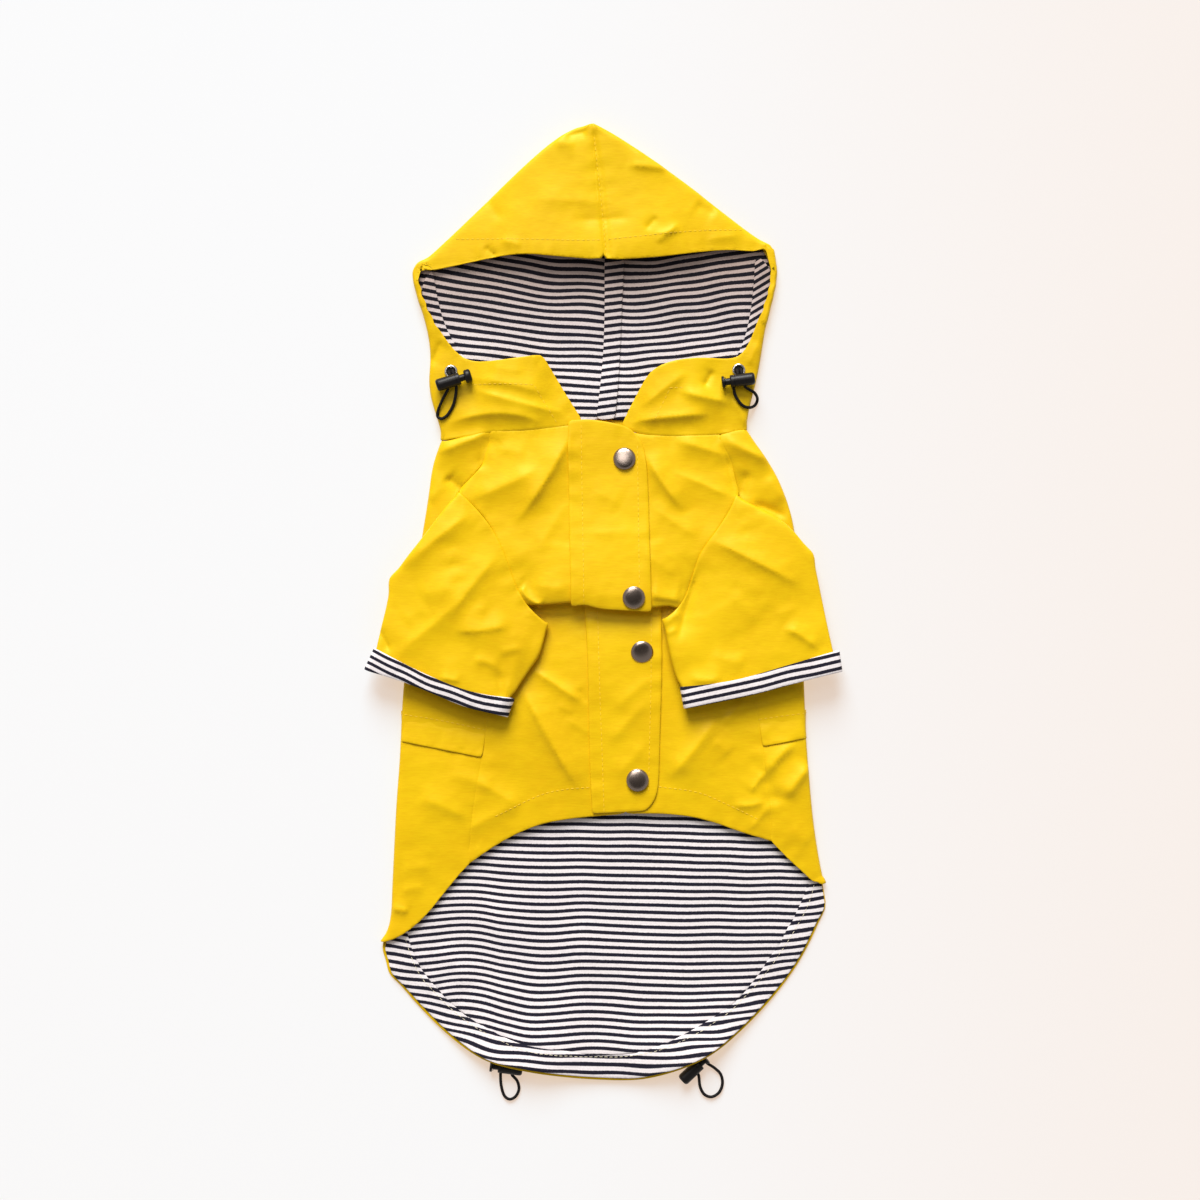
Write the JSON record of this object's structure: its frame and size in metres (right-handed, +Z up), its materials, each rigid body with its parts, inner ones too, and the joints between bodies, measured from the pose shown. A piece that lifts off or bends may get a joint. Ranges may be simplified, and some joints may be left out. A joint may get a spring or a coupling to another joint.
{
  "type": "dog raincoat",
  "caption": "Hooded raincoat for a medium dog, laid flat front up: coated shell, striped lining, turned-up cuffs, snap placket, pocket flaps and elastic cords with spring locks.",
  "frame": {"origin": "on the surface the coat lies on, under the middle of the cloth's outline", "axes": "+X to the right as seen from above with the hood at the top, +Y along the coat toward the hood, +Z up from the surface, through the front of the coat"},
  "size_m": [0.2851, 0.5847, 0.015],
  "materials": {
    "shell": "coated woven cloth, satin",
    "lining": "navy and white striped jersey",
    "snap": "gunmetal, satin",
    "eyelet": "polished",
    "lock": "black moulded plastic, satin",
    "cord": "black round elastic, braided"
  },
  "bodies": {
    "garment": {"back_panel": "shell", "tail_lining": "lining", "hem_facing": "lining", "front_left": "shell", "front_right": "shell", "placket_upper": "shell", "placket_lower": "shell", "hood_left": "shell", "hood_right": "shell", "hood_lining_left": "lining", "hood_lining_right": "lining", "hood_facing_left": "lining", "hood_facing_right": "lining", "hood_centre_tape": "lining", "sleeve_left": "shell", "sleeve_right": "shell", "cuff_left": "lining", "cuff_right": "lining", "pocket_flap_left": "shell", "pocket_flap_right": "shell", "snap_1": "snap", "snap_2": "snap", "snap_3": "snap", "snap_4": "snap", "eyelet_hood_left": "eyelet", "eyelet_hood_right": "eyelet", "cord_lock_hood_left_barrel": "lock", "cord_loop_hood_left": "cord", "cord_lock_hood_right_barrel": "lock", "cord_loop_hood_right": "cord", "cord_lock_hem_left_barrel": "lock", "cord_loop_hem_left": "cord", "cord_lock_hem_right_barrel": "lock", "cord_loop_hem_right": "cord", "cord_neck_hood_left_a": "cord", "cord_neck_hood_left_b": "cord", "cord_neck_hood_right_a": "cord", "cord_neck_hood_right_b": "cord"},
    "plunger_hood_left": {"cord_lock_hood_left_plunger": "lock"},
    "plunger_hood_right": {"cord_lock_hood_right_plunger": "lock"},
    "plunger_hem_left": {"cord_lock_hem_left_plunger": "lock"},
    "plunger_hem_right": {"cord_lock_hem_right_plunger": "lock"}
  },
  "joints": [
    {"name": "press_hood_left", "type": "slide", "parent": "garment", "child": "plunger_hood_left", "axis": [-0.9816, -0.1908, 0], "range_m": [0, 0.0025], "stiffness_N_per_m": 1200, "springref_m": -0.0025},
    {"name": "press_hood_right", "type": "slide", "parent": "garment", "child": "plunger_hood_right", "axis": [0.9976, 0.0698, 0], "range_m": [0, 0.0025], "stiffness_N_per_m": 1200, "springref_m": -0.0025},
    {"name": "press_hem_left", "type": "slide", "parent": "garment", "child": "plunger_hem_left", "axis": [0.9976, -0.0698, 0], "range_m": [0, 0.0025], "stiffness_N_per_m": 1200, "springref_m": -0.0025},
    {"name": "press_hem_right", "type": "slide", "parent": "garment", "child": "plunger_hem_right", "axis": [-0.7314, -0.682, 0], "range_m": [0, 0.0025], "stiffness_N_per_m": 1200, "springref_m": -0.0025}
  ]
}
